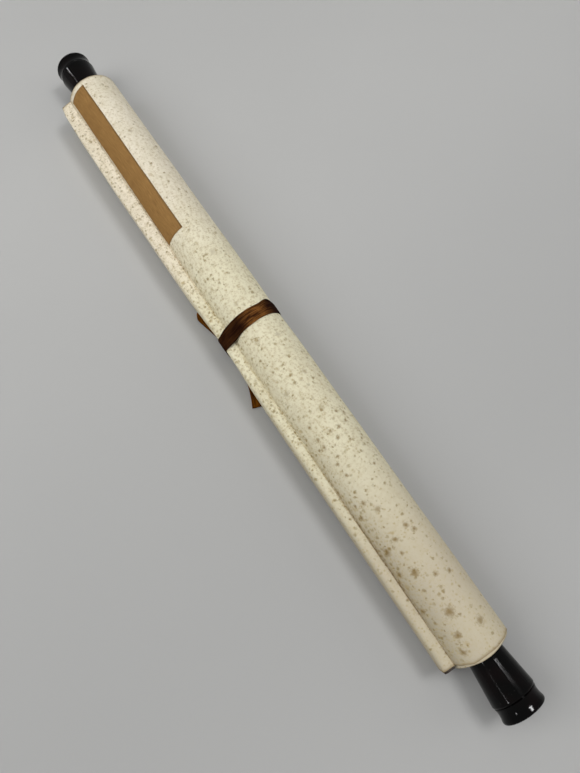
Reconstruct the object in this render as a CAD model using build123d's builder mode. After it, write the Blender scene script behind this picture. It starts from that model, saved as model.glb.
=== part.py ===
from build123d import *
from math import acos, atan2, cos, degrees, radians, sin, tan
import os

# A rolled hanging scroll, lying on a table. X runs along the roller, +Z is up, and the top stave lies on the
# -Y side of the roll. The origin is the centre of the base. Sizes are in millimetres.

# Mounted paper sheet
paper_width = 519.0
paper_thickness = 0.5
turn_gap = 0.11
turns = 18
core_fit = 0.05
flat_spot_depth = 0.25
wrap_gap = 0.05

# Wooden roller and its tenons
roller_radius = 9.0
tenon_radius = 5.0
tenon_length = 21.0
tenon_chamfer = 0.8
tenon_fit = 0.05
socket_end_gap = 1.0

# Turned knobs, measured along the roller from the paper's edge
knob_length = 40.5
knob_neck_radius = 12.0
knob_neck_length = 4.0
knob_shoulder_at = 29.4
knob_shoulder_radius = 14.8
knob_shoulder_round = 1.4
knob_flare_round = 40.0
knob_groove_width = 1.3
knob_groove_radius = 13.7
knob_cap_radius = 14.3
knob_cap_hollow = 0.55
knob_rim_radius = 14.6
knob_rim_width = 2.4
knob_rim_round = 1.0
knob_end_dome = 0.7

# Top stave: flat inner face against the roll, outer face with sloping top and bottom
stave_depth = 7.8
stave_height = 21.5
stave_top_level = 5.6
stave_slope = 20.0
stave_outer_round = 1.4
stave_inner_round = 0.6
stave_end_proud = 1.0
stave_end_inset = 0.5

# Brass staples in the stave's lower edge
staple_spacing = 200.0
staple_span = 5.0
staple_wire_radius = 0.7
staple_bite = 6.0
staple_fit = 0.03
staple_floor_gap = 0.05
staple_hole_tip = 0.3

# Title slip pasted beside the stave
slip_length = 164.3
slip_width = 18.4
slip_thickness = 0.2
slip_end_margin = 4.9
slip_edge_angle = 157.5
paste_gap = 0.06

# Ribbon tie: two turns, a tucked loop and a tail
ribbon_width = 10.0
ribbon_thickness = 0.35
tie_slack = 0.05
tie_start = -6.0
second_turn_shift = 2.2
strand_start = -15.6
strand_level = 1.15
loop_angle = 193.5
loop_length = 41.5
loop_height = 1.7
tail_run = 49.3
tail_drift = 11.6

# Sizes that follow from the ones above, seen along the roller from its axis
pitch = paper_thickness + turn_gap
core_radius = roller_radius + core_fit
last_turn_radius = core_radius + turns * pitch
roll_radius = last_turn_radius + paper_thickness
lower_radius = roll_radius - pitch / 2
flat_level = flat_spot_depth - lower_radius
floor_level = flat_level - ribbon_thickness
overlap_angle = degrees(acos(last_turn_radius / roll_radius))

stave_inner = -(last_turn_radius + paper_thickness + wrap_gap)
stave_outer = stave_inner - stave_depth
stave_bottom_level = stave_top_level - stave_height
slope_drop = stave_depth * tan(radians(stave_slope))
staple_y = (stave_inner + stave_outer) / 2
staple_seat = stave_bottom_level + slope_drop / 2
staple_crown = floor_level + staple_floor_gap + staple_wire_radius + staple_span / 2
staple_leg_top = staple_seat + staple_bite
cut_margin = 5.0

tail_swing = 2 * atan2(tail_drift, tail_run)
tail_reach = tail_drift - strand_start + ribbon_width / 2 * cos(tail_swing)
tie_reach = roll_radius + tie_slack + 2 * ribbon_thickness

# Where the roller's axis lies in the frame
axis_y = (tail_reach - tie_reach) / 2
axis_z = -floor_level
half_width = paper_width / 2


def section_at(x):
    """The plane across the roller at x, with its origin on the roller's axis."""
    return Plane(origin=(x, axis_y, axis_z), x_dir=(0, 1, 0), z_dir=(1, 0, 0))


def staple_legs():
    """Where the four legs of the two staples stand, as points on the plan."""
    legs = []
    for centre in (-staple_spacing / 2, staple_spacing / 2):
        for side in (-1, 1):
            legs.append((centre + side * staple_span / 2, axis_y + staple_y))
    return legs


# The stave's section
with BuildSketch() as stave_section:
    with BuildLine():
        Polyline(
            (stave_inner, stave_top_level),
            (stave_outer, stave_top_level - slope_drop),
            (stave_outer, stave_bottom_level + slope_drop),
            (stave_inner, stave_bottom_level),
            close=True,
        )
    make_face()
    fillet(stave_section.vertices().group_by(Axis.X)[-1], radius=stave_inner_round)
    fillet(stave_section.vertices().group_by(Axis.X)[0], radius=stave_outer_round)

# The stave, drilled from below for the staples' legs
with BuildPart() as stave:
    with BuildSketch(section_at(stave_end_inset - half_width)):
        add(stave_section.sketch)
    extrude(amount=paper_width - stave_end_inset + stave_end_proud)
    hole_bottom = axis_z + stave_bottom_level - cut_margin
    hole_depth = axis_z + staple_leg_top + staple_hole_tip - hole_bottom
    with BuildSketch(Plane.XY.offset(hole_bottom)):
        with Locations(*staple_legs()):
            Circle(staple_wire_radius + staple_fit)
    extrude(amount=hole_depth, mode=Mode.SUBTRACT)

# The sheet's wrap round the stave
with BuildSketch() as wrap_inside:
    add(stave_section.sketch)
    offset(amount=wrap_gap)

with BuildSketch() as wrap:
    add(wrap_inside.sketch)
    offset(amount=paper_thickness)
    add(wrap_inside.sketch, mode=Mode.SUBTRACT)

# The sheet's section: half circles about two centres make a spiral that grows one pitch a turn, and its last
# half circle runs into the wrap, where the paper is glued to itself
with BuildSketch() as paper_section:
    with BuildLine():
        last_arc = 180 - overlap_angle / 2
        for turn in range(turns + 1):
            inner = core_radius + turn * pitch
            arc = last_arc if turn == turns else 180
            CenterArc((0, 0), inner, 0, arc)
            CenterArc((0, 0), inner + paper_thickness, 0, arc)
            if turn < turns:
                CenterArc((pitch / 2, 0), inner + pitch / 2, 180, 180)
                CenterArc((pitch / 2, 0), inner + pitch / 2 + paper_thickness, 180, 180)
        Line((core_radius, 0), (core_radius + paper_thickness, 0))
        edge_x = cos(radians(last_arc))
        edge_y = sin(radians(last_arc))
        sheet_edge = (last_turn_radius * edge_x, last_turn_radius * edge_y)
        Line(sheet_edge, (roll_radius * edge_x, roll_radius * edge_y))
    make_face()
    add(wrap.sketch)
    with Locations((0, flat_level)):
        Rectangle(2 * roll_radius, cut_margin, align=(Align.CENTER, Align.MAX), mode=Mode.SUBTRACT)

# The paper roll, with slots where the staples' legs pass through the wrap
with BuildPart() as paper_roll:
    with BuildSketch(section_at(-half_width)):
        add(paper_section.sketch)
    extrude(amount=paper_width)
    with BuildSketch(Plane.XY.offset(hole_bottom)):
        with Locations(*staple_legs()):
            Circle(staple_wire_radius + staple_fit)
    extrude(amount=hole_depth, mode=Mode.SUBTRACT)

# The roller, a turned rod with a tenon at each end
with BuildPart() as roller_rod:
    with BuildSketch(section_at(-half_width)):
        Circle(roller_radius)
    extrude(amount=paper_width)
    with BuildSketch(section_at(-half_width - tenon_length)):
        Circle(tenon_radius)
    extrude(amount=paper_width + 2 * tenon_length)
    chamfer(roller_rod.faces().sort_by(Axis.X)[0].edges(), length=tenon_chamfer)
    chamfer(roller_rod.faces().sort_by(Axis.X)[-1].edges(), length=tenon_chamfer)

# Half of a knob's section: distance from the paper's edge, then radius
with BuildSketch() as knob_profile:
    groove_end = knob_shoulder_at + knob_groove_width
    rim_start = knob_length - knob_rim_width
    rim_end = knob_length - knob_end_dome
    socket_depth = tenon_length + socket_end_gap
    socket_radius = tenon_radius + tenon_fit
    cap_middle = ((groove_end + rim_start) / 2, (knob_cap_radius + knob_rim_radius) / 2 - knob_cap_hollow)
    end_radius = (knob_rim_radius**2 + knob_end_dome**2) / (2 * knob_end_dome)
    with BuildLine():
        Polyline(
            (0, socket_radius),
            (0, knob_neck_radius),
            (knob_neck_length, knob_neck_radius),
            (knob_shoulder_at, knob_shoulder_radius),
            (knob_shoulder_at + knob_groove_width / 2, knob_groove_radius),
            (groove_end, knob_cap_radius),
        )
        ThreePointArc((groove_end, knob_cap_radius), cap_middle, (rim_start, knob_rim_radius))
        Line((rim_start, knob_rim_radius), (rim_end, knob_rim_radius))
        RadiusArc((rim_end, knob_rim_radius), (knob_length, 0), end_radius)
        Polyline((knob_length, 0), (socket_depth, 0), (socket_depth, socket_radius), (0, socket_radius))
    make_face()
    neck_corner = (knob_neck_length, knob_neck_radius, 0)
    shoulder_corner = (knob_shoulder_at, knob_shoulder_radius, 0)
    rim_corner = (rim_end, knob_rim_radius, 0)
    fillet(knob_profile.vertices().sort_by_distance(neck_corner)[0], radius=knob_flare_round)
    fillet(knob_profile.vertices().sort_by_distance(shoulder_corner)[0], radius=knob_shoulder_round)
    fillet(knob_profile.vertices().sort_by_distance(rim_corner)[0], radius=knob_rim_round)


def turned_knob(side):
    """A knob turned about the roller's axis: side is -1 at the left end and 1 at the right end."""
    profile_plane = Plane(origin=(side * half_width, axis_y, axis_z), x_dir=(side, 0, 0), z_dir=(0, -side, 0))
    with BuildPart() as knob:
        with BuildSketch(profile_plane):
            add(knob_profile.sketch)
        revolve(axis=Axis((0, axis_y, axis_z), (1, 0, 0)))
    return knob


knob_left = turned_knob(-1)
knob_right = turned_knob(1)


def hanging_staple(centre):
    """A wire staple with both legs in the stave and its crown below it."""
    y = axis_y + staple_y
    crown_z = axis_z + staple_crown
    top_z = axis_z + staple_leg_top
    left = centre - staple_span / 2
    right = centre + staple_span / 2
    with BuildPart() as staple:
        with BuildLine():
            Line((left, y, top_z), (left, y, crown_z))
            ThreePointArc((left, y, crown_z), (centre, y, crown_z - staple_span / 2), (right, y, crown_z))
            Line((right, y, crown_z), (right, y, top_z))
        with BuildSketch(Plane(origin=(left, y, top_z), z_dir=(0, 0, -1))):
            Circle(staple_wire_radius)
        sweep()
    return staple


staple_left = hanging_staple(-staple_spacing / 2)
staple_right = hanging_staple(staple_spacing / 2)

# The title slip, a strip of thin paper that follows the outer turn
with BuildPart() as title_slip:
    slip_inner = roll_radius + paste_gap
    slip_outer = slip_inner + slip_thickness
    slip_arc = degrees(slip_width / slip_inner)
    slip_start = slip_edge_angle - slip_arc
    with BuildSketch(section_at(slip_end_margin - half_width)):
        with BuildLine():
            CenterArc((0, 0), slip_inner, slip_start, slip_arc)
            CenterArc((0, 0), slip_outer, slip_start, slip_arc)
            for angle in (slip_start, slip_edge_angle):
                end_x = cos(radians(angle))
                end_y = sin(radians(angle))
                Line((slip_inner * end_x, slip_inner * end_y), (slip_outer * end_x, slip_outer * end_y))
        make_face()
    extrude(amount=slip_length)

# What the tie is pulled round: the hull of the roll and the wrapped stave, flat where the roll rests
with BuildSketch() as wrapped_stave:
    add(stave_section.sketch)
    offset(amount=wrap_gap + paper_thickness + tie_slack)

with BuildSketch() as tie_core:
    with BuildLine():
        CenterArc((0, 0), roll_radius + tie_slack, 0, 180)
        CenterArc((pitch / 2, 0), lower_radius + tie_slack, 180, 180)
        Line((-roll_radius - tie_slack, 0), (pitch / 2 - lower_radius - tie_slack, 0))
    make_face()
    add(wrapped_stave.sketch)
    make_hull()
    with Locations((0, flat_level)):
        Rectangle(4 * roll_radius, cut_margin, align=(Align.CENTER, Align.MAX), mode=Mode.SUBTRACT)


def round_tie(amount):
    """The outline that lies this far outside the tie's core."""
    with BuildSketch() as outline:
        add(tie_core.sketch)
        offset(amount=amount)
    return outline.sketch


# The two turns of the ribbon, the first on the paper and the second on the first
with BuildSketch() as first_turn:
    add(round_tie(ribbon_thickness))
    add(tie_core.sketch, mode=Mode.SUBTRACT)

with BuildSketch() as second_turn:
    add(round_tie(2 * ribbon_thickness))
    add(round_tie(ribbon_thickness), mode=Mode.SUBTRACT)

# The upright plane that the loop's side outline is drawn on
loop_x = cos(radians(loop_angle))
loop_y = sin(radians(loop_angle))
strand_y = axis_y + strand_start
loop_plane = Plane(origin=(0, strand_y, 0), x_dir=(loop_x, loop_y, 0), z_dir=(loop_y, -loop_x, 0))

# The ribbon: its turns, then a flattened loop and a tail that come out under the stave
with BuildPart() as tie_ribbon:
    with BuildSketch(section_at(tie_start)):
        add(first_turn.sketch)
    extrude(amount=ribbon_width)
    with BuildSketch(section_at(tie_start + second_turn_shift)):
        add(second_turn.sketch)
    extrude(amount=ribbon_width)
    with BuildSketch(loop_plane):
        with BuildLine():
            loop_end = loop_length - loop_height / 2
            loop_top = strand_level + loop_height
            loop_tip = (loop_length, strand_level + loop_height / 2)
            Line((0, strand_level), (loop_end, strand_level))
            ThreePointArc((loop_end, strand_level), loop_tip, (loop_end, loop_top))
            Line((loop_end, loop_top), (0, loop_top))
        trace(line_width=ribbon_thickness)
    extrude(amount=ribbon_width / 2, both=True)
    with BuildSketch(Plane.XY.offset(strand_level - ribbon_thickness / 2)):
        with BuildLine():
            TangentArc((0, strand_y), (tail_run, strand_y - tail_drift), tangent=(1, 0))
        trace(line_width=ribbon_width)
    extrude(amount=ribbon_thickness)
    split(bisect_by=Plane.XY, keep=Keep.TOP)

os.makedirs("parts", exist_ok=True)
pieces = {
    "paper_roll": paper_roll,
    "roller_rod": roller_rod,
    "knob_left": knob_left,
    "knob_right": knob_right,
    "stave": stave,
    "staple_left": staple_left,
    "staple_right": staple_right,
    "title_slip": title_slip,
    "tie_ribbon": tie_ribbon,
}
for name, piece in pieces.items():
    piece.part.label = name
    export_step(piece.part, f"parts/{name}.step")
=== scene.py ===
import math

import bpy
from mathutils import Matrix, Vector, noise


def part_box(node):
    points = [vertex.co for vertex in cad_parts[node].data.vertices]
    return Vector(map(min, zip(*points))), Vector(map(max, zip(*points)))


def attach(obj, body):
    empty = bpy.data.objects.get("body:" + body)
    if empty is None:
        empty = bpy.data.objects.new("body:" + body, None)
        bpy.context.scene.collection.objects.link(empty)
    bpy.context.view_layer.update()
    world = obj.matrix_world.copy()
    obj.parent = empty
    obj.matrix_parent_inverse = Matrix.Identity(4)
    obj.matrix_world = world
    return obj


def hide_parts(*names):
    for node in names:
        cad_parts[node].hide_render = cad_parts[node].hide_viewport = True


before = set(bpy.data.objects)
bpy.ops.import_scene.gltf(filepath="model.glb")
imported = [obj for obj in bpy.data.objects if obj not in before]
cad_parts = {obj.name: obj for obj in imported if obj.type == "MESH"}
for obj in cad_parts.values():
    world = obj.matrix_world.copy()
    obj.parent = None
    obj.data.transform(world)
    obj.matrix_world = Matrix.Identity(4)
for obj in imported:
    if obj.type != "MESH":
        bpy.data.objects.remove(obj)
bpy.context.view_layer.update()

# The rolled hanging scroll of the CAD frame with its looks. Lengths in this script are millimetres, measured
# from the roller's axis at the middle of its length; at() turns them into the frame's metres.
MM = 0.001
rod_low, rod_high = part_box("roller_rod")
AXIS = (rod_low + rod_high) / 2
FLOOR = -AXIS.z / MM

# The sheet: half its width, its thickness, the radius that it is wound on, its turns and their pitch
HALF_WIDTH = 259.5
PAPER = 0.5
CORE = 9.05
TURNS = 18
PITCH = 0.61
TURN_GAP = 0.12

# The roll: its radius below and its lowest level, how far the tie nips it, and the angle at which its
# outermost turn starts, in degrees from +Y
LOW_RADIUS = 20.6
FLAT = -20.28
WAIST = 0.6
START_ANGLE = 186

# The stave and its wrap
STAVE_TOP = 5.9
STAVE_FOOT = -13.6
STAVE_UNDER = -16.3
NEAR_END = 256.9

# The ribbon's thickness and its gap to the paper, how far it lifts the roll's underside where it passes
# below, and how far it sags over the crease
RIBBON = 0.35
SLACK = 0.05
LIFT = 0.55
SAG = 1.0

# Where the outermost turn's near edge lies, by the distance round the roll from the crease
NEAR_EDGE = [
    (-118, 259.4), (-98, 258), (-70, 257.6), (-46.7, 257.9), (-36.9, 259.1), (-28.5, 259.9), (-14.4, 260.2),
    (-6.9, 258.2), (2, 256.6), (60, 256.2),
]

# The same for its far edge, which stands proud at the crease and is cut back along the stave
FAR_EDGE = [(-30, 259.2), (-8, 259.6), (0, 260.4), (5, 259.3), (9.5, 257.9), (14, 257.4), (40, 257.6)]

# How far the wrap reaches out over the stave, along the roller
REACH = [
    (-259.5, 28.9), (-250, 30.2), (-232, 30.7), (-180, 30.9), (-100, 30.3), (-60, 29.9), (-20, 28.9),
    (20, 28.6), (60, 28.5), (259.5, 28.2),
]

# How far the wrap's rounded lip lies from the axis, along the roller, and how high the crease beside it is
LIP = [
    (-259.5, 20.2), (-100, 20.4), (-75, 21.4), (0, 21.7), (50, 21.6), (110, 21.2), (180, 20.9), (220, 20.5),
    (259.5, 20.3),
]
CREASE = [(-259.5, 5.2), (-100, 5.0), (-75, 4.8), (60, 4.8), (110, 4.5), (180, 4.4), (259.5, 4.8)]


def at(x, y, z):
    """A point of the frame, in metres, from millimetres measured from the roller's axis."""
    return Vector((x * MM, y * MM + AXIS.y, z * MM + AXIS.z))


def wobble(x, seed, span):
    """A smooth number between about -1 and 1 that changes over span."""
    return 2 * noise.noise(Vector((x / span, seed * 7.31, 0.37)))


def ease(t):
    """0 up to t = 0, 1 from t = 1 on, and smooth between."""
    t = min(max(t, 0), 1)
    return t * t * (3 - 2 * t)


def bell(x, middle, width):
    """1 at the middle, falling smoothly to 0 on both sides."""
    return math.exp(-(((x - middle) / width) ** 2))


def along(pairs, x):
    """The value at x, eased between the pairs on either side."""
    for (x0, v0), (x1, v1) in zip(pairs, pairs[1:]):
        if x <= x1:
            return v0 + (v1 - v0) * ease((x - x0) / (x1 - x0))
    return pairs[-1][1]


def roll_radius(x):
    """The outer radius over the top of the roll: it tapers, is nipped by the tie and waves a little."""
    taper = 20.72 - 0.0023 * x
    return taper - WAIST * bell(x, 0, 17) + 0.09 * wobble(x, 1, 70)


def roll_point(x, angle, depth=0.0):
    """A point of the roll's surface, or depth below it. The angle is in degrees from +Y, 90 at the top."""
    turned = (angle - 180) / 360
    radius = roll_radius(x) - depth - PITCH * max(0, 1 - turned)
    pressed = LOW_RADIUS - 0.75 * WAIST * bell(x, 0, 17) - depth
    radius += (pressed - radius) * bell(angle % 360 - 180, 0, 42) * (turned > 0.5)
    a = math.radians(angle)
    if depth < 1:
        radius += 0.13 * noise.noise(Vector((x / 55, 1.3 * math.cos(a), 1.3 * math.sin(a))))
    y = radius * math.cos(a)
    z = radius * math.sin(a)
    if z < 0:
        z *= (LOW_RADIUS - depth) / radius
        flat = FLAT + depth + LIFT * bell(x, 0, 13)
        soft = 0.08
        z = flat + soft * math.log1p(math.exp((z - flat) / soft))
    return y, z


def rounded(points, radii, run=3, turn=7):
    """The path with an arc of each radius at its inner points. The count of its points never changes."""
    path = [points[0]]
    for i in range(1, len(points) - 1):
        a, b, c = Vector(points[i - 1]), Vector(points[i]), Vector(points[i + 1])
        back, on = (a - b), (c - b)
        reach = radii[i - 1] / math.tan(max(back.angle(on), 0.02) / 2)
        reach = min(reach, 0.45 * back.length, 0.45 * on.length)
        start, end = b + back.normalized() * reach, b + on.normalized() * reach
        last = Vector(path[-1])
        for k in range(1, run + 1):
            path.append(tuple(last.lerp(start, k / run)))
        for k in range(1, turn + 1):
            t = k / turn
            path.append(tuple(start.lerp(b, t).lerp(b.lerp(end, t), t)))
    last = Vector(path[-1])
    for k in range(1, run + 1):
        path.append(tuple(last.lerp(Vector(points[-1]), k / run)))
    return path


def stave_corners(x):
    """The corners of the wrapped stave's outside: lip, shoulder, foot, underside and the wall by the roll."""
    worn = ease((x + HALF_WIDTH) / (2 * HALF_WIDTH))
    inner = -roll_radius(x) - WAIST * bell(x, 0, 17)
    outer = -along(REACH, x) + 0.12 * wobble(x, 5, 60)
    lip = -along(LIP, x) - 0.08 * wobble(x, 3, 18)
    return [
        (lip, STAVE_TOP + 0.1 * wobble(x, 4, 45)),
        (outer, STAVE_TOP - 0.7 - 0.2 * worn),
        (outer + 1.9 - 0.4 * worn + 1.7 * bell(x, 2, 22), STAVE_FOOT),
        (inner - 0.1, STAVE_UNDER),
        (inner - 0.1, -4.0),
    ]


def shoulder(x):
    """The radius of the wrap's outer corner: it is crisp at the far end and worn round at the near one."""
    return 1.3 + 3.1 * ease((x + 180) / 280)


# Steps round the outermost turn, and round each turn below it
ROLL_STEPS = 92
TURN_STEPS = 44


def sheet_path(x):
    """The outside of the outermost turn and of the wrap round the stave, and the angle at the crease."""
    height = along(CREASE, x) + 0.2 * wobble(x, 6, 25) + 0.55 * bell(x, 4, 18)
    end = 540 - math.degrees(math.asin(height / 20.5))
    path = []
    for k in range(ROLL_STEPS + 1):
        path.append(roll_point(x, START_ANGLE + (end - START_ANGLE) * k / ROLL_STEPS))
    corners = [path[-2], path[-1]] + stave_corners(x)
    tail = rounded(corners, [0.6, 1.0, shoulder(x), 3.0, 1.0], turn=9)
    return path[:-2] + tail, end


def offset_path(path, amount):
    """The path moved outwards by amount: it runs anticlockwise, so outwards is to its right."""
    moved = []
    for i, (y, z) in enumerate(path):
        y0, z0 = path[max(i - 1, 0)]
        y1, z1 = path[min(i + 1, len(path) - 1)]
        dy, dz = y1 - y0, z1 - z0
        size = math.hypot(dy, dz) or 1
        moved.append((y + amount * dz / size, z - amount * dy / size))
    return moved


def lengths(path):
    """The distance along the path at each point."""
    total, out = 0.0, [0.0]
    for (y0, z0), (y1, z1) in zip(path, path[1:]):
        total += math.hypot(y1 - y0, z1 - z0)
        out.append(total)
    return out


def add_object(name, verts, faces, uvs=None, masks=None, smooth=True):
    """A mesh piece. uvs and each of the masks hold one entry a vertex."""
    mesh = bpy.data.meshes.new(name)
    mesh.from_pydata(verts, [], faces)
    mesh.polygons.foreach_set("use_smooth", [smooth] * len(mesh.polygons))
    if uvs:
        layer = mesh.uv_layers.new(name="sheet")
        for loop in mesh.loops:
            layer.data[loop.index].uv = uvs[loop.vertex_index]
    for key, values in (masks or {}).items():
        layer = mesh.color_attributes.new(key, "FLOAT_COLOR", "POINT")
        layer.data.foreach_set("color", [number for value in values for number in value])
    mesh.update()
    obj = bpy.data.objects.new(name, mesh)
    bpy.context.scene.collection.objects.link(obj)
    return obj


def grid_faces(rows, columns, first=0, flip=False):
    """Quads between rows of columns points each."""
    faces = []
    for r in range(rows - 1):
        for c in range(columns - 1):
            a = first + r * columns + c
            quad = (a, a + 1, a + columns + 1, a + columns)
            faces.append(quad[::-1] if flip else quad)
    return faces


def shell_faces(rows, columns, first=0):
    """A closed shell of two grids, the outer then the inner, joined round their edges."""
    count = rows * columns
    faces = grid_faces(rows, columns, first) + grid_faces(rows, columns, first + count, flip=True)
    ring = list(range(columns))
    ring += [r * columns + columns - 1 for r in range(1, rows)]
    ring += [(rows - 1) * columns + c for c in range(columns - 2, -1, -1)]
    ring += [r * columns for r in range(rows - 2, 0, -1)]
    for i, a in enumerate(ring):
        b = ring[(i + 1) % len(ring)]
        faces.append((first + b, first + a, first + count + a, first + count + b))
    return faces


def spread(low, high, steps, crowd):
    """Stations from low to high, closer together near the ends by crowd from 0 to 1."""
    out = []
    for k in range(steps + 1):
        t = 2 * k / steps - 1
        t = (1 - crowd) * t + crowd * math.sin(t * math.pi / 2)
        out.append(low + (high - low) * (t + 1) / 2)
    return out


# The outermost turn and the wrap. wear holds foxing, stain, browned rim and fine speckle, and the second mask
# holds painted shade and the cleaner, paler strip. The pattern is laid in centimetres, along the roller and
# round from one angle.
PATTERN_ANGLE = 523.6
PATTERN_RADIUS = 20.3
stations = spread(-HALF_WIDTH, HALF_WIDTH, 150, 0.55)
stations = sorted(stations + [side * (HALF_WIDTH - inset) for side in (-1, 1) for inset in (0.3, 0.8)])
paths = []
for x in stations:
    path, end = sheet_path(x)
    paths.append((x, path, end))
columns = len(paths[0][1])
outer, inner, uvs, wear, shade_and_pale_strip = [], [], [], [], []
for x, path, end in paths:
    run = lengths(path)
    crease_at = run[ROLL_STEPS]
    side = 1 if x > 0 else -1
    reach = abs(x) / HALF_WIDTH
    inside = offset_path(path, -PAPER)
    for c, ((y, z), (yi, zi)) in enumerate(zip(path, inside)):
        v = run[c] - crease_at
        sheet_v = v + PATTERN_RADIUS * math.radians(end - PATTERN_ANGLE)
        end_x = along(NEAR_EDGE if side > 0 else FAR_EDGE, v)
        end_x += 0.18 * wobble(v, 8 + side, 17)
        px = x + side * (end_x - HALF_WIDTH) * ease((reach - 0.86) / 0.14)
        outer.append(at(px, y, z))
        inner.append(at(px, yi, zi))
        uvs.append((x / 10, sheet_v / 10))
        strip = ease((v + 1) / 2)
        flank = bell(v, -5, 8) * (1 - strip)
        older = ease((x - 90) / 60)
        fox = 0.10 + 0.16 * bell(x, 110, 75) + flank * (0.10 + 0.42 * bell(x, 190, 45))
        fox += 0.34 * strip * (1 - older)
        fox *= 1 - 0.35 * strip * older - 0.4 * ease((v - 10) / 6) * (1 - older)
        # Painted shade: darker on the roll's flank beside the crease, more so towards the near end, and on
        # the wrap's outer half
        painted_shade = 0.10 + 0.30 * ease((x - 40) / 80) + 0.4 * ease((x - 130) / 80)
        painted_shade *= bell(min(v, 0), 0, 13) * (1 - strip)
        painted_shade += 0.8 * ease((v - 5.5) / 4.5) * strip * (0.2 + 0.8 * ease((x - 20) / 90))
        stain = bell(v, -0.6, 1.8) * (0.18 + 0.30 * older) + 0.7 * bell(v, 1.0, 1.3) * (0.3 + 0.5 * older)
        stain *= 1 - 0.6 * ease((x - 205) / 30)
        rim = bell(abs(px), end_x, 1.1)
        fine = 1 - older * (0.55 - 0.2 * strip - 0.6 * flank) - 0.25 * ease((-90 - x) / 60)
        wear.append((min(fox, 1), min(stain, 1), rim, fine))
        clean = strip * ease((-20 - x) / 60)
        shade_and_pale_strip.append((painted_shade, clean, 0, 1))
verts = outer + inner
faces = shell_faces(len(stations), columns)
uvs = uvs + uvs
wear = wear + wear
shade_and_pale_strip = shade_and_pale_strip + shade_and_pale_strip

# The turns below it. At the near end the outer ones stand proud of the rest over the top.
LOOSE_FROM = 12.6
half_stations = [0, 14, 34, 120, 240, HALF_WIDTH - 0.4, HALF_WIDTH]
depth_stations = [-x for x in half_stations[:0:-1]] + half_stations
columns = (TURNS - 1) * TURN_STEPS + 1
first = len(verts)
for layer in (0, 1):
    for x in depth_stations:
        room = roll_radius(x) - PAPER - TURN_GAP - CORE
        for k in range(columns):
            turned = k / TURN_STEPS
            height = turned / TURNS * room
            angle = (START_ANGLE + turned * 360) % 360
            a = math.radians(angle)
            radius = CORE + PAPER + height - layer * PAPER
            depth = roll_radius(x) - radius
            y, z = radius * math.cos(a), radius * math.sin(a)
            if z < 0:
                z = max(z * (LOW_RADIUS - depth) / radius, FLAT + depth + LIFT * bell(x, 0, 13))
            proud = 0.0
            if x > 250 and radius > LOOSE_FROM:
                proud = 2.3 * bell(angle, 100, 48) - 0.9 * bell(angle, 0, 60) - 0.9 * bell(angle, 360, 100)
                proud += 0.25 * wobble(turned * 9, 12, 5)
                proud *= ease((radius - LOOSE_FROM) / 3)
            verts.append(at(x + proud, y, z))
            uvs.append((x / 10, 40 + turned * 9))
            wear.append((0.2, 0, 0.9 * (abs(x) > HALF_WIDTH - 0.1), 0.4))
            shade_and_pale_strip.append((0, 0, 0, 1))
faces += shell_faces(len(depth_stations), columns, first)
paper = add_object("paper_sheet", verts, faces, uvs, {"wear": wear, "shade_and_pale_strip": shade_and_pale_strip})
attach(paper, "root")
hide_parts("paper_roll")

# The stave inside the wrap
stave_stations = [-HALF_WIDTH + 0.5, -200, -120, -40, -15, 0, 15, 40, 120, 200, NEAR_END + 1.1]
verts, faces = [], []
for x in stave_stations:
    corners = stave_corners(x)
    top = corners[0][1]
    wall = corners[4][0]
    ring = [(wall, -3.0), (wall, top + 0.1)] + corners[1:]
    ring = rounded(ring, [0.6, shoulder(x), 3.0, 1.0], run=2, turn=5)
    ring = offset_path(ring, -PAPER - 0.08)
    verts += [at(x, y, z) for y, z in ring]
columns = len(ring)
for r in range(len(stave_stations) - 1):
    for c in range(columns):
        a, b = r * columns + c, r * columns + (c + 1) % columns
        faces.append((a, b, b + columns, a + columns))
faces.append(tuple(range(columns))[::-1])
faces.append(tuple((len(stave_stations) - 1) * columns + c for c in range(columns)))
stave = add_object("stave_wood", verts, faces, smooth=False)
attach(stave, "root")
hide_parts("stave")

# The title slip, pasted on the roll: its start and length along the roller and its two long edges in degrees
SLIP_START = -254.4
SLIP_LENGTH = 164.2
SLIP_LOW = 106.4
SLIP_HIGH = 156.5
SLIP_FLARE = 5.0
SLIP_UNDER = 0.04
SLIP_OVER = 0.24
SLIP_ROWS = 70
SLIP_COLUMNS = 24
outer, inner, uvs = [], [], []
for r in range(SLIP_ROWS + 1):
    x = SLIP_START + SLIP_LENGTH * r / SLIP_ROWS
    for c in range(SLIP_COLUMNS + 1):
        low = SLIP_LOW + 0.4 * wobble(x, 21, 30)
        high = SLIP_HIGH + SLIP_FLARE * r / SLIP_ROWS + 0.4 * wobble(x, 22, 24)
        angle = 360 + low + (high - low) * c / SLIP_COLUMNS
        lift = 0.02 * bell(c, 0, 1.5) + 0.02 * bell(c, SLIP_COLUMNS, 1.5)
        y, z = roll_point(x, angle, -SLIP_OVER - lift)
        outer.append(at(x, y, z))
        y, z = roll_point(x, angle, -SLIP_UNDER)
        inner.append(at(x, y, z))
        uvs.append((r / SLIP_ROWS, c / SLIP_COLUMNS))
slip = add_object("slip", outer + inner, shell_faces(SLIP_ROWS + 1, SLIP_COLUMNS + 1), uvs + uvs)
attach(slip, "root")
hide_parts("title_slip")


def hull(points):
    """The convex hull of the points, anticlockwise."""
    points = sorted(set(points))
    halves = []
    for run in (points, points[::-1]):
        half = []
        for p in run:
            while len(half) > 1:
                (ay, az), (by, bz) = half[-2], half[-1]
                if (by - ay) * (p[1] - az) - (bz - az) * (p[0] - ay) > 1e-9:
                    break
                half.pop()
            half.append(p)
        halves.append(half[:-1])
    return halves[0] + halves[1]


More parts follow.
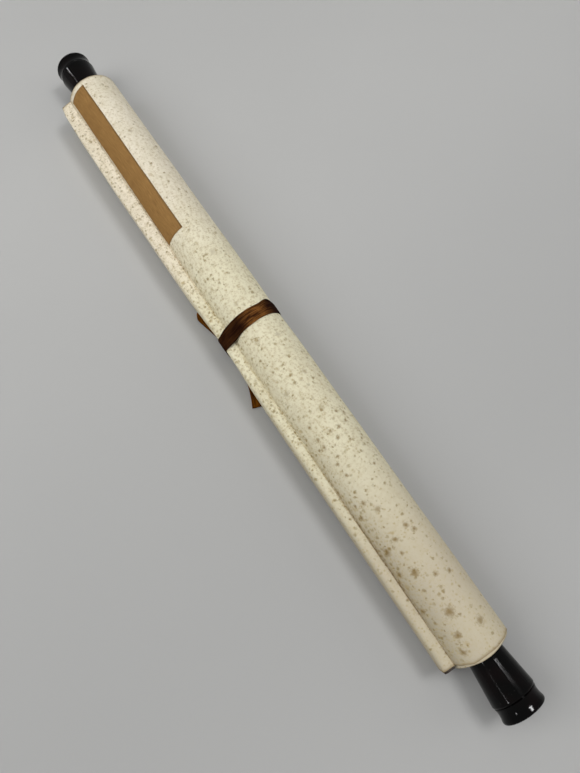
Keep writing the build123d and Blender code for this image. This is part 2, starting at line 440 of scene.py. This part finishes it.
def band_line(x, rise, count):
    """The tie's line at x, rise above what it is pulled round, in count even steps from below the roll."""
    ring = hull(sheet_path(x)[0])
    start = min(range(len(ring)), key=lambda i: abs(ring[i][0]) + 9 * (ring[i][1] > -19))
    ring = ring[start:] + ring[: start + 1]
    run = lengths(ring)
    line, i = [], 0
    for k in range(count + 1):
        goal = run[-1] * k / count
        while run[i + 1] < goal and i < len(run) - 2:
            i += 1
        t = (goal - run[i]) / max(run[i + 1] - run[i], 1e-9)
        line.append(tuple(Vector(ring[i]).lerp(Vector(ring[i + 1]), t)))
    closed = [line[-2]] + line + [line[1]]
    moved = offset_path(closed, rise)[1:-1]
    squeezed = FLOOR + 0.01 + 0.4 * (SLACK + 2 * RIBBON - rise)
    return [(y, max(z - SAG * bell(y, -19, 3) * (z > 0), squeezed)) for y, z in moved]


# The ribbon's two turns: the far and the near edge of each along the roller, by the angle round it from +Y
FIRST_FAR = [
    (0, -4.6), (8, -4.8), (43, -6.6), (76, -5.0), (119, -5.5), (150, -5.5), (175, -3.4), (200, -5.2),
    (360, -4.6),
]
FIRST_NEAR = [
    (0, 4.4), (8, 4.0), (43, 4.3), (76, 4.6), (119, 5.5), (150, 6.0), (175, 6.2), (200, 5.2), (360, 4.4),
]
SECOND_FAR = [
    (0, -2.6), (8, -3.0), (20, -6.4), (43, -8.4), (76, -5.7), (119, -6.1), (150, -6.2), (175, -3.8),
    (200, -5.0), (340, -4.0), (360, -2.6),
]
SECOND_NEAR = [
    (0, 2.6), (8, 3.0), (23, 4.2), (43, 4.7), (76, 5.1), (119, 6.0), (150, 6.5), (175, 6.8), (200, 5.4),
    (360, 2.6),
]
PLEATS = 6
AROUND = 220
ACROSS = 30
ROUND_CM = 15
lines = {}
for x in range(-9, 8):
    lines[x] = [band_line(x, SLACK + rise * RIBBON, AROUND) for rise in (0, 1, 2)]
verts, faces, uvs = [], [], []
for ply, (far_edge, near_edge) in enumerate([(FIRST_FAR, FIRST_NEAR), (SECOND_FAR, SECOND_NEAR)]):
    outer, inner, flat = [], [], []
    for c in range(ACROSS + 1):
        t = c / ACROSS
        for k in range(AROUND + 1):
            y, z = lines[0][ply][k]
            angle = math.degrees(math.atan2(z, y)) % 360
            drift = 0.25 * wobble(k, 30 + 2 * ply + t, 26)
            x = along(far_edge, angle) * (1 - t) + along(near_edge, angle) * t + drift
            x0 = math.floor(x)
            below, above = lines[x0], lines[x0 + 1]
            low = Vector(below[ply][k]).lerp(Vector(above[ply][k]), x - x0)
            high = Vector(below[ply + 1][k]).lerp(Vector(above[ply + 1][k]), x - x0)
            fan = 2 * math.pi * (PLEATS * t + 0.7 * wobble(k, 60 + ply, 70) + 0.4 * ply)
            ridge = 0.09 * math.cos(fan) + 0.10 * noise.noise(Vector((t * 14, k / 55, ply * 3.1)))
            out = Vector((y, z)).normalized() * ridge * (z > -14)
            outer.append(at(x, high.x + out.x, high.y + out.y))
            inner.append(at(x, low.x + 0.9 * out.x, low.y + 0.9 * out.y))
            flat.append((t, k / AROUND * ROUND_CM))
    first = len(verts)
    verts += outer + inner
    uvs += flat + flat
    faces += [f[::-1] for f in shell_faces(ACROSS + 1, AROUND + 1, first)]

# The loop that is tucked under the stave: out, round its end and back. Its line pairs the distance out with
# the height above the floor.
STRAND_START = -15.6
STRAND_STEPS = 8
LOOP_HEADING = math.radians(193.5)
LOOP_LENGTH = 44.8
LOOP_ROUNDING = 5.3
LOOP_WIDTH = 10.6
LOOP_TIP = 41.6
loop_line = [
    (0, 1.15), (14, 1.05), (28, 0.75), (36, 0.55), (40.2, 0.75), (LOOP_TIP, 1.6), (40.6, 2.55), (36, 2.95),
    (28, 3.0), (14, 2.9), (0, 2.85),
]
loop_path = rounded(loop_line, [30, 30, 20, 2, 1.2, 1.2, 2, 20, 30], run=3, turn=5)
first = len(verts)
for rise in (0.5, -0.5):
    line = offset_path(loop_path, rise * RIBBON)
    gone = lengths(line)
    for c in range(STRAND_STEPS + 1):
        t = c / STRAND_STEPS - 0.5
        for k, (run, height) in enumerate(line):
            reach = run * (LOOP_LENGTH - LOOP_ROUNDING * (2 * t) ** 2) / LOOP_TIP
            x = reach * math.cos(LOOP_HEADING) - t * LOOP_WIDTH * math.sin(LOOP_HEADING)
            y = STRAND_START + reach * math.sin(LOOP_HEADING) + t * LOOP_WIDTH * math.cos(LOOP_HEADING)
            verts.append(at(x, y, FLOOR + max(height + 0.12 * wobble(run, 40 + t, 9), 0.02)))
            uvs.append((t + 0.5, 20 + gone[k] / 10))
faces += [f[::-1] for f in shell_faces(STRAND_STEPS + 1, len(loop_path), first)]

# The tail: it swings out from under the stave to its slanting cut end
TAIL_LENGTH = 49.3
TAIL_DRIFT = 11.6
TAIL_WIDTH = 11
TAIL_STEPS = 30
first = len(verts)
swing = 2 * math.atan2(TAIL_DRIFT, TAIL_LENGTH)
radius = math.hypot(TAIL_LENGTH, TAIL_DRIFT) / 2 / math.sin(swing / 2)
for layer in (1, 0):
    for c in range(STRAND_STEPS + 1):
        t = c / STRAND_STEPS - 0.5
        for k in range(TAIL_STEPS + 1):
            turn = swing * k / TAIL_STEPS * (1 - 0.035 * (t + 0.5))
            r = radius - 0.6 + t * TAIL_WIDTH
            x = r * math.sin(turn)
            y = STRAND_START - radius + r * math.cos(turn)
            height = 1.15 - 0.55 * ease(k / TAIL_STEPS) + 0.15 * wobble(k, 50 + t, 8)
            height += 0.5 * bell(k, TAIL_STEPS, 9) * (0.5 - t)
            verts.append(at(x, y, FLOOR + max(height, 0.05) + (layer - 0.5) * RIBBON * 0.9 + 0.16))
            uvs.append((t + 0.5, 30 + k / 6))
faces += shell_faces(STRAND_STEPS + 1, TAIL_STEPS + 1, first)
tie = add_object("tie", verts, faces, uvs)
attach(tie, "root")
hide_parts("tie_ribbon")


def new_material(name):
    """A material with its node tree and its shader."""
    material = bpy.data.materials.new(name)
    material.use_nodes = True
    return material, material.node_tree, material.node_tree.nodes["Principled BSDF"]


def add(tree, kind, values=None, **settings):
    """A node with its settings, and its inputs set from values or linked where a value is a socket."""
    made = tree.nodes.new("ShaderNode" + kind)
    for key, value in settings.items():
        setattr(made, key, value)
    for key, value in (values or {}).items():
        if isinstance(value, bpy.types.NodeSocket):
            tree.links.new(value, made.inputs[key])
        else:
            made.inputs[key].default_value = value
    return made


def maths(tree, operation, a, b=0.0):
    """The output of a Math node. A blank b is 0."""
    return add(tree, "Math", {0: a, 1: b}, operation=operation).outputs[0]


def remap(tree, value, low, high, to_low=0.0, to_high=1.0):
    """The value taken smoothly from one range to another, and held at its ends."""
    values = {"Value": value, "From Min": low, "From Max": high, "To Min": to_low, "To Max": to_high}
    return add(tree, "MapRange", values, interpolation_type="SMOOTHSTEP").outputs["Result"]


def mix(tree, factor, a, b):
    """Colour a where the factor is 0 and b where it is 1."""
    made = add(tree, "Mix", {0: factor}, data_type="RGBA")
    for index, value in ((6, a), (7, b)):
        if isinstance(value, bpy.types.NodeSocket):
            tree.links.new(value, made.inputs[index])
        else:
            made.inputs[index].default_value = (*value, 1)
    return made.outputs[2]


def specks(tree, place, scale, size, density, seed):
    """Soft stains with ragged edges in a share, density, of a jittered grid's cells: 1 at a stain's heart."""
    shift = add(tree, "Mapping", {"Vector": place, "Location": (seed, seed * 1.7, 0)}).outputs[0]
    rough = add(tree, "TexNoise", {"Vector": shift, "Scale": scale * 2.3, "Detail": 3}).outputs["Color"]
    centred = add(tree, "VectorMath", {0: rough, 1: (0.5, 0.5, 0.5)}, operation="SUBTRACT").outputs[0]
    moved = add(tree, "VectorMath", {0: centred, "Scale": 0.75 / scale}, operation="SCALE").outputs[0]
    spot = add(tree, "VectorMath", {0: shift, 1: moved}, operation="ADD").outputs[0]
    cells = add(tree, "TexVoronoi", {"Vector": spot, "Scale": scale}, voronoi_dimensions="2D")
    chance = add(tree, "SeparateColor", {0: cells.outputs["Color"]})
    reach = remap(tree, chance.outputs[1], 0.0, 1.0, 0.45 * size, size)
    near = remap(tree, maths(tree, "DIVIDE", cells.outputs["Distance"], reach), 0.2, 1.0, 1, 0)
    present = maths(tree, "LESS_THAN", chance.outputs[0], density)
    depth = remap(tree, chance.outputs[2], 0.0, 1.0, 0.45, 1.0)
    return maths(tree, "MULTIPLY", maths(tree, "MULTIPLY", near, present), depth)


def blotch(tree, place, rough, x, v, size, depth=1.0):
    """A star-like stain at x along the roller and v round the roll from the crease, in millimetres."""
    away = add(tree, "VectorMath", {0: place, 1: (x / 10, v / 10, 0)}, operation="DISTANCE").outputs["Value"]
    ragged = maths(tree, "MULTIPLY", away, rough)
    return remap(tree, ragged, 0, 0.15 * size, depth, 0)


# The star-like stains: x along the roller, v round from the crease, radius and, if faint, depth
BLOTCHES = [
    (229.5, -18, 3.5), (200.5, -14.2, 2.9), (243, -30.4, 2.9, 0.85), (242.5, -14, 2.4), (252, -10.4, 2.2),
    (178.5, -16.2, 1.9), (182, -6, 2.7), (157.5, -18, 2.3, 0.75), (175, -26.8, 2.0), (179.5, -30, 1.6),
    (208, -24.3, 1.6), (211, -33.2, 1.5), (132.5, -34.3, 1.4), (149.5, -12.5, 1.8), (129, -14, 1.4),
    (120, -13.4, 1.4), (106, -12.3, 1.5), (156, -4.9, 1.7), (197, -3.8, 2.2), (222, -2.6, 2.0),
    (83, -26.3, 2.6, 0.45), (61.5, -12, 2.6, 0.6), (18, -16.3, 2.8, 0.4), (-59, -27.8, 3.2, 0.35),
    (-14, -19.4, 2.2, 0.4), (55, -31.4, 2.0, 0.6), (22, -31.4, 1.9, 0.5), (-191, -30, 2.0, 0.5),
    (92.5, -39, 1.4), (98.5, -35.6, 1.4), (114, -38.5, 1.2), (90, -33.6, 1.2), (111, -30, 1.1),
    (100, -28.5, 1.4), (106, -23.5, 1.4), (99.5, -22, 1.4), (116, -16.4, 1.2), (89.5, -11.6, 1.3),
    (99.5, -11.6, 1.4), (105.5, -7.7, 1.3), (148, -6, 1.2), (187, -14.5, 1.3), (188, 3, 1.0), (212, 4.2, 0.9),
    (251, 2.6, 1.1), (222, 3, 0.9), (201, 1, 1.1), (134, 0.6, 1.3), (152, 5.6, 0.8),
]

# Mounted paper: cream, mottled and foxed, with a stained crease and browned rims, and painted light and shade
# along the roller and beside the crease
paper_mat, tree, shader = new_material("foxed_paper")
place = add(tree, "UVMap", uv_map="sheet").outputs[0]
length = add(tree, "SeparateXYZ", {0: place}).outputs[0]
worn = add(tree, "VertexColor", layer_name="wear")
marks = add(tree, "SeparateColor", {0: worn.outputs[0]})
fox, stain, rim, fineness = marks.outputs[0], marks.outputs[1], marks.outputs[2], worn.outputs[1]
cloud = add(tree, "TexNoise", {"Vector": place, "Scale": 0.35, "Detail": 4, "Roughness": 0.6}).outputs[0]
mottle = add(tree, "TexNoise", {"Vector": place, "Scale": 2.2, "Detail": 5, "Roughness": 0.65}).outputs[0]
grit = add(tree, "TexNoise", {"Vector": place, "Scale": 4.5, "Detail": 4, "Roughness": 0.65}).outputs[0]
fibre = add(tree, "TexNoise", {"Vector": place, "Scale": 24.0, "Detail": 3}).outputs[0]
shade_layer = add(tree, "VertexColor", layer_name="shade_and_pale_strip").outputs[0]
shaded, clean = add(tree, "SeparateColor", {0: shade_layer}).outputs[:2]
# The tone along the roller is painted light and shade: paler and pinker at the far end, yellower in the
# middle and much darker towards the near end, a painted shadow there
colour = mix(tree, remap(tree, length, -14, -3), (0.84, 0.775, 0.635), (0.81, 0.765, 0.565))
colour = mix(tree, remap(tree, length, -2, 9), colour, (0.77, 0.725, 0.535))
colour = mix(tree, remap(tree, length, 9, 21), colour, (0.575, 0.510, 0.384))
colour = mix(tree, maths(tree, "MULTIPLY", clean, 0.8), colour, (0.93, 0.84, 0.68))
# Painted shade on the roll's flank beside the crease and on the wrap's outer half
colour = mix(tree, maths(tree, "MULTIPLY", shaded, 0.78), colour, (0.36, 0.32, 0.24))
colour = mix(tree, remap(tree, cloud, 0.35, 0.65, 0, 0.24), colour, (0.62, 0.56, 0.39))
colour = mix(tree, remap(tree, mottle, 0.42, 0.70, 0, 0.30), colour, (0.53, 0.45, 0.27))
pepper = maths(tree, "MULTIPLY", remap(tree, grit, 0.48, 0.66, 0, 0.5), fineness)
colour = mix(tree, pepper, colour, (0.50, 0.40, 0.21))
thick = remap(tree, mottle, 0.40, 0.60, 0.4, 1.5)
share = maths(tree, "MULTIPLY", maths(tree, "MULTIPLY", fineness, 0.5), thick)
tiny = specks(tree, place, 5.0, 0.62, share, 3.0)
medium = specks(tree, place, 3.2, 0.60, maths(tree, "MULTIPLY", fox, thick), 11.0)
large = specks(tree, place, 1.6, 0.36, maths(tree, "MULTIPLY", fox, 0.4), 27.0)
colour = mix(tree, maths(tree, "MULTIPLY", large, 0.55), colour, (0.42, 0.30, 0.11))
colour = mix(tree, maths(tree, "MULTIPLY", tiny, 0.52), colour, (0.40, 0.30, 0.125))
colour = mix(tree, maths(tree, "MULTIPLY", medium, 0.74), colour, (0.25, 0.175, 0.052))
rays = add(tree, "TexNoise", {"Vector": place, "Scale": 5.5, "Detail": 4, "Roughness": 0.65}).outputs[0]
ragged = remap(tree, rays, 0.3, 0.7, 0.62, 1.45)
stars = 0.0
for spot in BLOTCHES:
    stars = maths(tree, "MAXIMUM", stars, blotch(tree, place, ragged, *spot))
colour = mix(tree, maths(tree, "MULTIPLY", stars, 0.82), colour, (0.225, 0.142, 0.038))
broken = remap(tree, grit, 0.40, 0.60, 0.3, 1.0)
stained = maths(tree, "MULTIPLY", maths(tree, "MULTIPLY", stain, broken), 0.9)
colour = mix(tree, stained, colour, (0.27, 0.175, 0.07))
colour = mix(tree, maths(tree, "MULTIPLY", rim, 0.8), colour, (0.28, 0.20, 0.095))
bump = add(tree, "Bump", {"Height": fibre, "Strength": 0.18, "Distance": 0.0004}).outputs[0]
tree.links.new(colour, shader.inputs["Base Color"])
tree.links.new(bump, shader.inputs["Normal"])
shader.inputs["Roughness"].default_value = 0.88
shader.inputs["Specular IOR Level"].default_value = 0.15
paper.data.materials.append(paper_mat)

# Slip: tan paper with long fibres and a darker edge
slip_mat, tree, shader = new_material("slip_paper")
place = add(tree, "UVMap", uv_map="sheet").outputs[0]
stretched = add(tree, "Mapping", {"Vector": place, "Scale": (9, 26, 1)}).outputs[0]
grain = add(tree, "TexNoise", {"Vector": stretched, "Scale": 2.0, "Detail": 7, "Roughness": 0.7}).outputs[0]
across = add(tree, "SeparateXYZ", {0: place}).outputs[1]
edge = maths(tree, "ADD", remap(tree, across, 0.0, 0.11, 1, 0), remap(tree, across, 0.94, 1.0, 0, 0.5))
colour = mix(tree, remap(tree, grain, 0.36, 0.64), (0.36, 0.200, 0.064), (0.215, 0.112, 0.034))
colour = mix(tree, maths(tree, "MULTIPLY", edge, 0.6), colour, (0.13, 0.075, 0.03))
bump = add(tree, "Bump", {"Height": grain, "Strength": 0.25, "Distance": 0.0003}).outputs[0]
tree.links.new(colour, shader.inputs["Base Color"])
tree.links.new(bump, shader.inputs["Normal"])
shader.inputs["Roughness"].default_value = 0.8
shader.inputs["Specular IOR Level"].default_value = 0.15
slip.data.materials.append(slip_mat)

# Ribbon: fine lengthwise ribs, in patches darker and redder, and more orange in its loop and tail, with
# painted shade where it turns away
ribbon_mat, tree, shader = new_material("brown_ribbon")
place = add(tree, "UVMap", uv_map="sheet").outputs[0]
across, along_it = add(tree, "SeparateXYZ", {0: place}).outputs[:2]
ribs_at = add(tree, "Mapping", {"Vector": place, "Scale": (22, 0.5, 1)}).outputs[0]
ribs = add(tree, "TexNoise", {"Vector": ribs_at, "Scale": 1.0, "Detail": 5, "Roughness": 0.65}).outputs[0]
patch_at = add(tree, "Mapping", {"Vector": place, "Scale": (2.5, 0.9, 1)}).outputs[0]
patch = add(tree, "TexNoise", {"Vector": patch_at, "Scale": 1.0, "Detail": 2}).outputs[0]
weave_at = add(tree, "Mapping", {"Vector": place, "Scale": (40, 60, 1)}).outputs[0]
weave = add(tree, "TexNoise", {"Vector": weave_at, "Scale": 1.0, "Detail": 1}).outputs[0]
# Painted shade: the ribbon is darkened over the crease and the stave's top and outer side, and down the
# roll's +Y side to below it
over_crease = remap(tree, along_it, 7.0, 8.2, 0, 0.86)
over_crease = maths(tree, "MULTIPLY", over_crease, remap(tree, along_it, 12.0, 13.0, 1, 0))
down_behind = remap(tree, along_it, 4.8, 6.2, 0.95, 0)
down_behind = maths(tree, "MULTIPLY", down_behind, remap(tree, along_it, 0.2, 2.5))
shade = maths(tree, "MAXIMUM", over_crease, down_behind)
light = mix(tree, remap(tree, along_it, 18, 20), (0.235, 0.093, 0.022), (0.25, 0.082, 0.005))
dark = mix(tree, remap(tree, patch, 0.4, 0.6), (0.020, 0.0055, 0.0020), (0.009, 0.0022, 0.0014))
tone = maths(tree, "ADD", maths(tree, "MULTIPLY", ribs, 0.62), maths(tree, "MULTIPLY", patch, 0.38))
colour = mix(tree, remap(tree, tone, 0.40, 0.62), dark, light)
colour = mix(tree, shade, colour, (0.011, 0.0026, 0.0014))
height = maths(tree, "ADD", ribs, maths(tree, "MULTIPLY", weave, 0.3))
bump = add(tree, "Bump", {"Height": height, "Strength": 0.7, "Distance": 0.0004}).outputs[0]
tree.links.new(colour, shader.inputs["Base Color"])
tree.links.new(bump, shader.inputs["Normal"])
shader.inputs["Roughness"].default_value = 0.75
shader.inputs["Specular IOR Level"].default_value = 0.02
tie.data.materials.append(ribbon_mat)

# Lacquer: near black with a red undertone, a little dust and fine wear
lacquer, tree, shader = new_material("black_lacquer")
place = add(tree, "TexCoord").outputs["Object"]
dust = add(tree, "TexNoise", {"Vector": place, "Scale": 900.0, "Detail": 2}).outputs[0]
tone = add(tree, "TexNoise", {"Vector": place, "Scale": 60.0, "Detail": 4}).outputs[0]
colour = mix(tree, remap(tree, tone, 0.4, 0.7), (0.0006, 0.0006, 0.0006), (0.0030, 0.0011, 0.0011))
colour = mix(tree, remap(tree, dust, 0.70, 0.80, 0, 0.3), colour, (0.07, 0.065, 0.06))
tree.links.new(colour, shader.inputs["Base Color"])
tree.links.new(remap(tree, tone, 0.3, 0.7, 0.06, 0.12), shader.inputs["Roughness"])
# A fan of triangles meets at the middle of each end, where the shading needs the true normals
away = add(tree, "VectorMath", {0: place, 1: (0, AXIS.y, AXIS.z)}, operation="SUBTRACT").outputs[0]
away = add(tree, "VectorMath", {0: away, 1: (0, 1, 1)}, operation="MULTIPLY").outputs[0]
away = add(tree, "VectorMath", {0: away}, operation="LENGTH").outputs["Value"]
shape = add(tree, "NewGeometry")
central = remap(tree, away, 0.0021, 0.0027, 1, 0)
facing = mix(tree, central, shape.outputs["Normal"], shape.outputs["True Normal"])
bump = add(tree, "Bump", {"Height": tone, "Strength": 0.22, "Distance": 0.0005, "Normal": facing}).outputs[0]
tree.links.new(bump, shader.inputs["Normal"])
shader.inputs["Specular IOR Level"].default_value = 0.13


def wood(name, dark, light):
    """Bare wood with its grain along the roller."""
    material, tree, shader = new_material(name)
    place = add(tree, "TexCoord").outputs["Object"]
    drawn = add(tree, "Mapping", {"Vector": place, "Scale": (30, 900, 900)}).outputs[0]
    grain = add(tree, "TexNoise", {"Vector": drawn, "Scale": 1.0, "Detail": 6, "Roughness": 0.65}).outputs[0]
    colour = mix(tree, remap(tree, grain, 0.3, 0.7), dark, light)
    bump = add(tree, "Bump", {"Height": grain, "Strength": 0.3, "Distance": 0.0003}).outputs[0]
    tree.links.new(colour, shader.inputs["Base Color"])
    tree.links.new(bump, shader.inputs["Normal"])
    shader.inputs["Roughness"].default_value = 0.7
    return material


stave.data.materials.append(wood("stave_wood", (0.010, 0.006, 0.003), (0.035, 0.019, 0.009)))

# Dull, tarnished brass for the staples
brass, tree, shader = new_material("dull_brass")
place = add(tree, "TexCoord").outputs["Object"]
tarnish = add(tree, "TexNoise", {"Vector": place, "Scale": 700.0, "Detail": 4}).outputs[0]
colour = mix(tree, remap(tree, tarnish, 0.35, 0.7), (0.55, 0.38, 0.14), (0.25, 0.17, 0.07))
tree.links.new(colour, shader.inputs["Base Color"])
tree.links.new(remap(tree, tarnish, 0.3, 0.7, 0.28, 0.5), shader.inputs["Roughness"])
shader.inputs["Metallic"].default_value = 1.0

finishes = {
    "knob_left": lacquer,
    "knob_right": lacquer,
    "roller_rod": wood("roller_wood", (0.20, 0.12, 0.06), (0.38, 0.25, 0.13)),
    "staple_left": brass,
    "staple_right": brass,
}
for name, material in finishes.items():
    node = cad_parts[name]
    node.data.materials.clear()
    node.data.materials.append(material)

# Floor: a pale table, with a painted shadow in a band beyond the tie
floor_mesh = bpy.data.meshes.new("floor")
corners = [(-1.3, -1.2, 0), (1.3, -1.2, 0), (1.3, 1.2, 0), (-1.3, 1.2, 0)]
floor_mesh.from_pydata(corners, [], [(0, 1, 2, 3)])
floor = bpy.data.objects.new("floor", floor_mesh)
bpy.context.scene.collection.objects.link(floor)
floor_mat, tree, shader = new_material("pale_table")
place = add(tree, "TexCoord").outputs["Object"]
patch = add(tree, "TexNoise", {"Vector": place, "Scale": 3.0, "Detail": 3}).outputs[0]
length = add(tree, "SeparateXYZ", {0: place}).outputs[0]
colour = mix(tree, remap(tree, patch, 0.3, 0.7), (0.497, 0.497, 0.487), (0.477, 0.477, 0.467))
# Painted shadow: darker from the far end towards the near end, most at about 0.2 m, and paler again past it
colour = mix(tree, remap(tree, length, -0.25, 0.20, 0, 0.65), colour, (0.385, 0.385, 0.380))
colour = mix(tree, remap(tree, length, 0.14, 0.36, 0, 0.45), colour, (0.497, 0.497, 0.487))
tree.links.new(colour, shader.inputs["Base Color"])
shader.inputs["Roughness"].default_value = 0.75
shader.inputs["Specular IOR Level"].default_value = 0.2
floor_mesh.materials.append(floor_mat)

# World: even room light, which the camera, gloss and glass see as a pale backdrop
world = bpy.data.worlds.new("room")
bpy.context.scene.world = world
world.use_nodes = True
tree = world.node_tree
background = tree.nodes["Background"]
path = add(tree, "LightPath")
seen = maths(tree, "MAXIMUM", path.outputs["Is Camera Ray"], path.outputs["Is Glossy Ray"])
seen = maths(tree, "MAXIMUM", seen, path.outputs["Is Transmission Ray"])
tree.links.new(mix(tree, seen, (0.20, 0.20, 0.20), (0.38, 0.38, 0.375)), background.inputs["Color"])


def lamp(name, place, target, size, power, gleam=False):
    """A rectangular lamp that faces its target. A gleam shows only in gloss, the rest in all but gloss."""
    light = bpy.data.lights.new(name, "AREA")
    light.shape = "RECTANGLE"
    light.size, light.size_y = size
    light.energy = power
    obj = bpy.data.objects.new(name, light)
    bpy.context.scene.collection.objects.link(obj)
    obj.location = place
    obj.rotation_euler = (Vector(place) - Vector(target)).to_track_quat("Z", "Y").to_euler()
    obj.visible_glossy = gleam
    obj.visible_diffuse = not gleam


lamp("left_lamp", (-0.45, -1.27, 1.27), (0, 0, 0), (1.3, 1.3), 16.6)
lamp("right_lamp", (0.25, 0.66, 1.63), (0, 0, 0), (0.5, 0.5), 9.4)
lamp("low_lamp", (0.90, 1.50, 0.95), (0, 0, 0), (0.9, 0.9), 3.7)
lamp("ceiling", (-0.45, 0, 1.80), (0, 0, 0), (1.2, 1.2), 5.7)
lamp("near_gleam", (0.62, -2.0, 1.53), (0.62, 0, 0), (0.36, 0.05), 4.5, True)
lamp("far_gleam", (-1.95, -1.55, 1.53), (-1.0, 0, 0), (0.05, 0.07), 1.4, True)
lamp("neck_gleam", (0.215, 0.60, 1.53), (0.215, 0, 0), (0.07, 0.42), 9.0, True)
lamp("cap_gleam", (-0.08, 0.60, 1.53), (-0.08, 0, 0), (0.50, 0.26), 24, True)

# Camera at the photograph's place, with a 610 pixel focal length in 580 by 773
camera = bpy.data.cameras.new("camera")
camera.sensor_width = 36
camera.lens = 610 / 773 * 36
camera_obj = bpy.data.objects.new("camera", camera)
bpy.context.scene.collection.objects.link(camera_obj)
right = Vector((0.54742, 0.83686, -0.00001))
down = Vector((0.78478, -0.51336, -0.34723))
ahead = Vector((-0.29059, 0.19007, -0.93778))
turn = Matrix((right, -down, -ahead)).transposed().to_4x4()
camera_obj.matrix_world = Matrix.Translation(at(178.18, -85.96, 403.72)) @ turn
camera.clip_start = 0.01
bpy.context.scene.camera = camera_obj
bpy.context.scene.view_settings.view_transform = "Standard"
